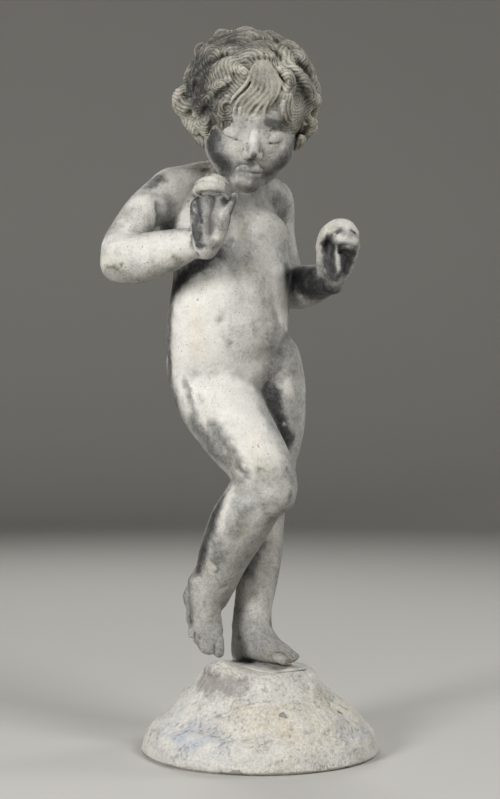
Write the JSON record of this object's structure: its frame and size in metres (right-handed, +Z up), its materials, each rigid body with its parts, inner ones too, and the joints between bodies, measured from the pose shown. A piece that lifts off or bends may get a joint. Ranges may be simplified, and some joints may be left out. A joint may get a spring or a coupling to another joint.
{
  "type": "garden statue",
  "caption": "Lead figure of a curly-haired child standing on one leg with both hands lifted, on a rough conical rock mound with a lime crust.",
  "frame": {"origin": "centre of the mound's flat underside, on the surface that the statue stands on", "axes": "+Z up, -Y towards the viewer of the picture, +X to that viewer's right"},
  "size_m": [0.3019, 0.2838, 0.7874],
  "materials": {
    "weathered_lead": null,
    "limed_rock": null
  },
  "bodies": {
    "root": {"child_figure": "weathered_lead", "rock_base": "limed_rock"}
  },
  "joints": []
}
